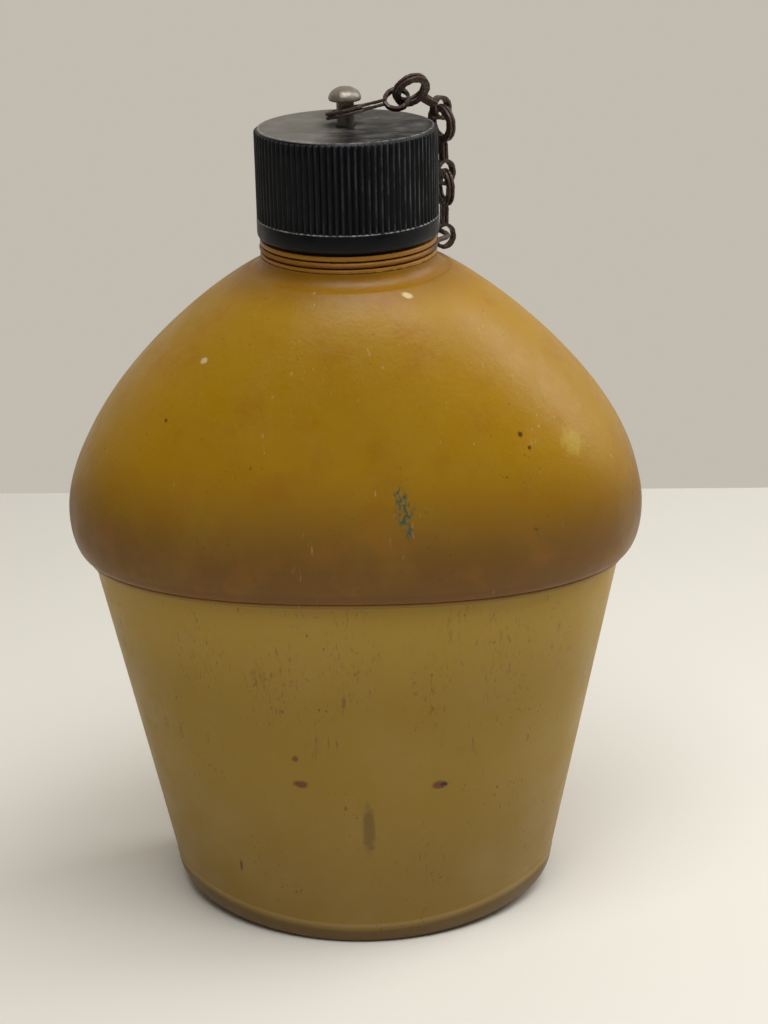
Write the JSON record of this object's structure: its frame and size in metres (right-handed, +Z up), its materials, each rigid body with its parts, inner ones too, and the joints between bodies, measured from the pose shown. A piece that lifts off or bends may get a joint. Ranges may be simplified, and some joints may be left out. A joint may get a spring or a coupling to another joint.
{
  "type": "canteen",
  "caption": "Kidney-shaped plastic canteen: tapered lower shell, domed upper shell, threaded neck, ribbed screw cap on a chain of folded links.",
  "frame": {"origin": "middle of the canteen's bounding box at its base, on the surface it stands on", "axes": "+Z up along the neck's axis, -Y to the convex front, +X to the side where the chain hangs"},
  "size_m": [0.138, 0.076, 0.2075],
  "materials": {
    "lower_plastic": "worn satin amber plastic, slightly translucent",
    "upper_plastic": "semi-gloss amber plastic, slightly translucent",
    "neck_plastic": "semi-gloss amber plastic, slightly translucent",
    "cap_plastic": "black moulded phenolic, satin, scuffed on top",
    "gasket_rubber": "aged dark rubber",
    "pin_steel": "dull worn steel",
    "chain_steel": "dark brown rusted steel strip"
  },
  "bodies": {
    "canteen": {"lower_shell": "lower_plastic", "upper_shell": "upper_plastic", "threaded_neck": "neck_plastic"},
    "pin": {"cap_pin": "pin_steel", "cap_pin_washer": "pin_steel", "cap_gasket": "gasket_rubber"},
    "cap": {"cap_shell": "cap_plastic"},
    "neck_ring": {"neck_ring": "chain_steel"},
    "link_1": {"chain_link_1": "chain_steel"},
    "link_2": {"chain_link_2": "chain_steel"},
    "link_3": {"chain_link_3": "chain_steel"},
    "link_4": {"chain_link_4": "chain_steel"}
  },
  "joints": [
    {"name": "cap_lift", "type": "slide", "parent": "canteen", "child": "pin", "axis": [0, 0, 1], "range_m": [0, 0.0033]},
    {"name": "cap_turn", "type": "hinge", "parent": "pin", "child": "cap", "pos_m": [0, 0.00405, 0.196], "axis": [0, 0, 1], "range_deg": [0, 330]},
    {"name": "neck_ring_swivel", "type": "hinge", "parent": "canteen", "child": "neck_ring", "pos_m": [0, 0.00405, 0.1685], "axis": [0, 0, 1], "continuous": true},
    {"name": "link_4_hinge", "type": "hinge", "parent": "neck_ring", "child": "link_4", "pos_m": [0.02202, 0.01385, 0.1685], "axis": [-0.4067, 0.9135, 0], "range_deg": [0, 2]},
    {"name": "link_3_hinge", "type": "hinge", "parent": "link_4", "child": "link_3", "pos_m": [0.02226, 0.01396, 0.18285], "axis": [-0.4067, 0.9135, 0], "range_deg": [-2.5, 0]},
    {"name": "link_2_hinge", "type": "hinge", "parent": "link_3", "child": "link_2", "pos_m": [0.02153, 0.01364, 0.19793], "axis": [-0.7443, 0.6678, 0], "range_deg": [0, 10]},
    {"name": "link_1_hinge", "type": "hinge", "parent": "link_2", "child": "link_1", "pos_m": [0.01165, 0.00548, 0.20159], "axis": [-0.1219, 0.9925, 0], "range_deg": [0, 0.5]}
  ],
  "couplings": [
    {"joint": "cap_turn", "follows": "cap_lift", "rad_per_m": 1745.3},
    {"joint": "link_4_hinge", "follows": "cap_lift", "rad_per_m": 9.6963},
    {"joint": "link_3_hinge", "follows": "cap_lift", "rad_per_m": -12.12},
    {"joint": "link_2_hinge", "follows": "cap_lift", "rad_per_m": 48.481},
    {"joint": "link_1_hinge", "follows": "cap_lift", "rad_per_m": 2.4241}
  ]
}
